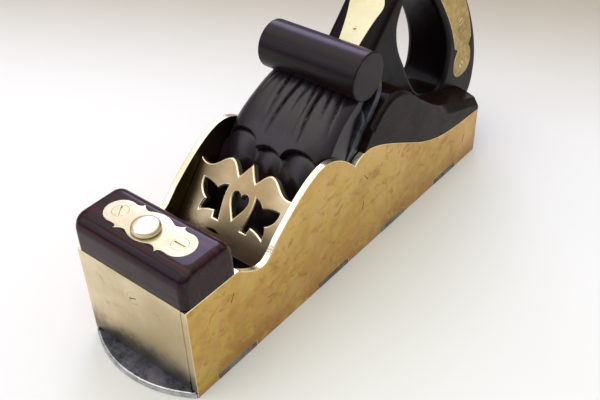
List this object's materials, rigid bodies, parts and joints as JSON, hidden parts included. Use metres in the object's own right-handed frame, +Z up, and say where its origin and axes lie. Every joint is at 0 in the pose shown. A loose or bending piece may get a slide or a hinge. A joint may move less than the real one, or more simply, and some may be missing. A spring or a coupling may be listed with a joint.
{
  "type": "infill smoothing plane",
  "caption": "Infill hand plane with brass sides, bowed steel sole, rosewood stuffing, pierced bridge, carved roll-top wedge and closed handle; iron and wedge slide up the bed.",
  "frame": {"origin": "on the surface the sole rests on, at the middle of the width and of the overall length", "axes": "+Z up from the sole, +Y from the toe towards the heel and handle, +X to the right-hand side seen from the toe with the heel away"},
  "size_m": [0.064, 0.265, 0.134],
  "materials": {
    "sole_steel": "ground and scratched, dark with age",
    "side_brass": "satin, tarnished orange-brown towards the sole, polished top edge",
    "front_brass": "satin, greyer than the sides",
    "bridge_brass": "satin with polished edges",
    "inlay_brass": "polished, pale",
    "tote_inlay_brass": "satin, mottled",
    "button_brass": "bright polished",
    "side_screw_brass": "filed flush, satin",
    "inlay_screw_brass": "filed flush, polished",
    "iron_steel": "ground, lightly patinated",
    "screw_steel": "turned, dark",
    "front_rosewood": "french polished",
    "wedge_rosewood": "french polished",
    "rear_rosewood": "french polished",
    "tote_rosewood": "french polished"
  },
  "bodies": {
    "stock": {"sole_front": "sole_steel", "sole_rear": "sole_steel", "side_plate_right": "side_brass", "side_plate_left": "side_brass", "front_plate": "front_brass", "front_infill": "front_rosewood", "front_inlay_plate": "inlay_brass", "strike_button": "button_brass", "bridge": "bridge_brass", "rear_infill": "rear_rosewood", "tote": "tote_rosewood", "tote_front_inlay": "inlay_brass", "tote_side_inlay_right": "tote_inlay_brass", "tote_side_inlay_left": "tote_inlay_brass", "side_screw_right_front": "side_screw_brass", "side_screw_right_upper": "side_screw_brass", "side_screw_right_lower": "side_screw_brass", "side_screw_right_rear": "side_screw_brass", "front_inlay_screw_right": "inlay_screw_brass", "tote_screw_right_upper": "inlay_screw_brass", "tote_screw_right_lower": "inlay_screw_brass", "side_screw_left_front": "side_screw_brass", "side_screw_left_upper": "side_screw_brass", "side_screw_left_lower": "side_screw_brass", "side_screw_left_rear": "side_screw_brass", "front_inlay_screw_left": "inlay_screw_brass", "tote_screw_left_upper": "inlay_screw_brass", "tote_screw_left_lower": "inlay_screw_brass", "front_plate_screw": "side_screw_brass", "tote_front_nail": "inlay_screw_brass"},
    "iron": {"plane_iron": "iron_steel"},
    "cap_iron": {"cap_iron": "iron_steel"},
    "cap_iron_screw": {"cap_iron_screw": "screw_steel"},
    "wedge": {"wedge": "wedge_rosewood"}
  },
  "joints": [
    {"name": "iron_slide", "type": "slide", "parent": "stock", "child": "iron", "axis": [0, 0.6428, 0.766], "range_m": [0, 0.044]},
    {"name": "cap_iron_slide", "type": "slide", "parent": "iron", "child": "cap_iron", "axis": [0, 0.6428, 0.766], "range_m": [0, 0.003]},
    {"name": "cap_iron_screw_turn", "type": "hinge", "parent": "cap_iron", "child": "cap_iron_screw", "pos_m": [0, -0.02953, 0.02911], "axis": [0, 0.766, -0.6428], "range_deg": [0, 360]},
    {"name": "wedge_slide", "type": "slide", "parent": "cap_iron", "child": "wedge", "axis": [0, 0.6428, 0.766], "range_m": [0, 0.06]}
  ]
}
